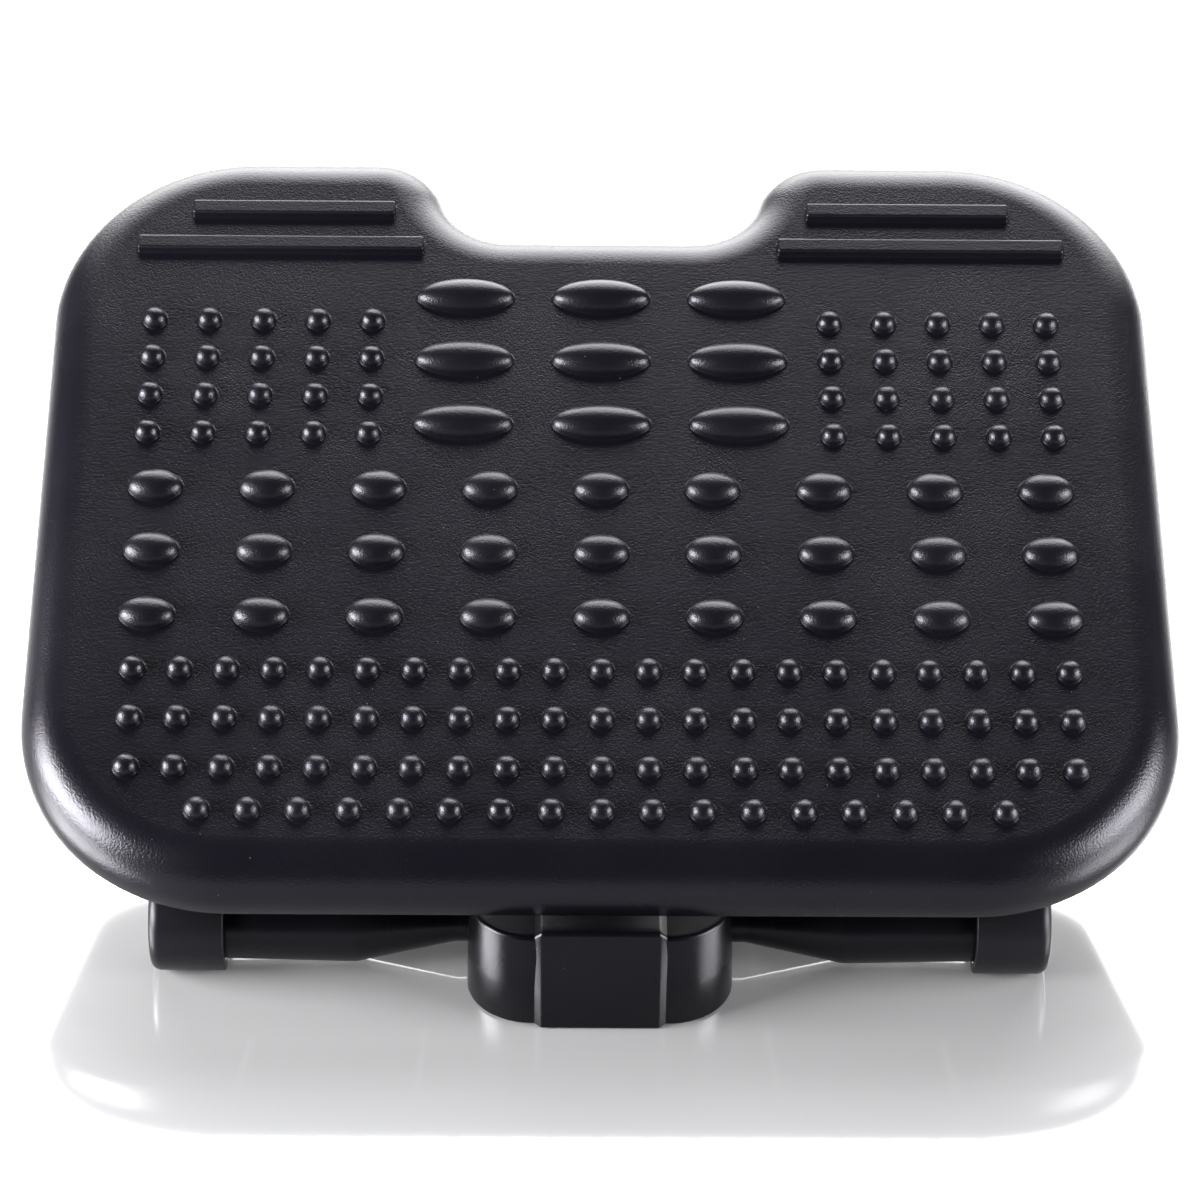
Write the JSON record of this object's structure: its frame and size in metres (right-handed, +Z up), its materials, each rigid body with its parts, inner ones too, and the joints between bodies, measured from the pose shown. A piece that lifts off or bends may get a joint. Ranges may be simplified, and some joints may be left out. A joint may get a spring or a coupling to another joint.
{
  "type": "tilting under desk footrest",
  "caption": "Under desk footrest: a bumpy moulded platform with a notched far edge tilts on a friction pivot above an H-shaped base with rubber-capped arms.",
  "frame": {"origin": "on the floor, straight below the pivot axis and midway between the left and right arms", "axes": "+X to the right, +Y away from the user towards the notched edge, +Z up; at rest the platform leans down towards the user"},
  "size_m": [0.4508, 0.3386, 0.2011],
  "materials": {
    "platform_plastic": "fine leather grain with smooth satin bumps",
    "base_plastic": "fine spark-eroded texture",
    "arm_plastic": "satin",
    "cap_rubber": "matt",
    "zinc_steel": "bright zinc plating",
    "white_nylon": "natural nylon",
    "friction_fibre": "dry pressed fibre"
  },
  "bodies": {
    "base": {"base_housing": "base_plastic", "bottom_plate": "base_plastic", "pedestal": "base_plastic", "limit_pin": "zinc_steel", "arm_front_left": "arm_plastic", "arm_front_right": "arm_plastic", "arm_rear_left": "arm_plastic", "arm_rear_right": "arm_plastic", "end_cap_front_left": "cap_rubber", "end_cap_front_right": "cap_rubber", "end_cap_rear_left": "cap_rubber", "end_cap_rear_right": "cap_rubber", "arm_screw_front_left": "zinc_steel", "arm_screw_front_right": "zinc_steel", "arm_screw_rear_left": "zinc_steel", "arm_screw_rear_right": "zinc_steel", "pivot_bush_left": "white_nylon", "pivot_bush_right": "white_nylon", "friction_washer_left": "friction_fibre", "friction_washer_right": "friction_fibre", "plate_screw_1": "zinc_steel", "plate_screw_2": "zinc_steel", "plate_screw_3": "zinc_steel", "plate_screw_4": "zinc_steel", "plate_screw_5": "zinc_steel", "plate_screw_6": "zinc_steel", "pedestal_screw_1": "zinc_steel", "pedestal_screw_2": "zinc_steel", "pedestal_screw_3": "zinc_steel", "pedestal_screw_4": "zinc_steel", "foot_pad_front": "cap_rubber", "foot_pad_middle": "cap_rubber", "foot_pad_rear": "cap_rubber"},
    "platform": {"platform": "platform_plastic", "pivot_bracket": "base_plastic", "pivot_bolt": "zinc_steel", "flat_washer": "zinc_steel", "spring_washer": "zinc_steel", "pivot_nut": "zinc_steel", "bracket_screw_1": "zinc_steel", "bracket_screw_2": "zinc_steel", "bracket_screw_3": "zinc_steel", "bracket_screw_4": "zinc_steel"}
  },
  "joints": [
    {"name": "platform_tilt", "type": "hinge", "parent": "base", "child": "platform", "pos_m": [0, 0, 0.0962], "axis": [1, 0, 0], "range_deg": [-23.5, 0]}
  ]
}
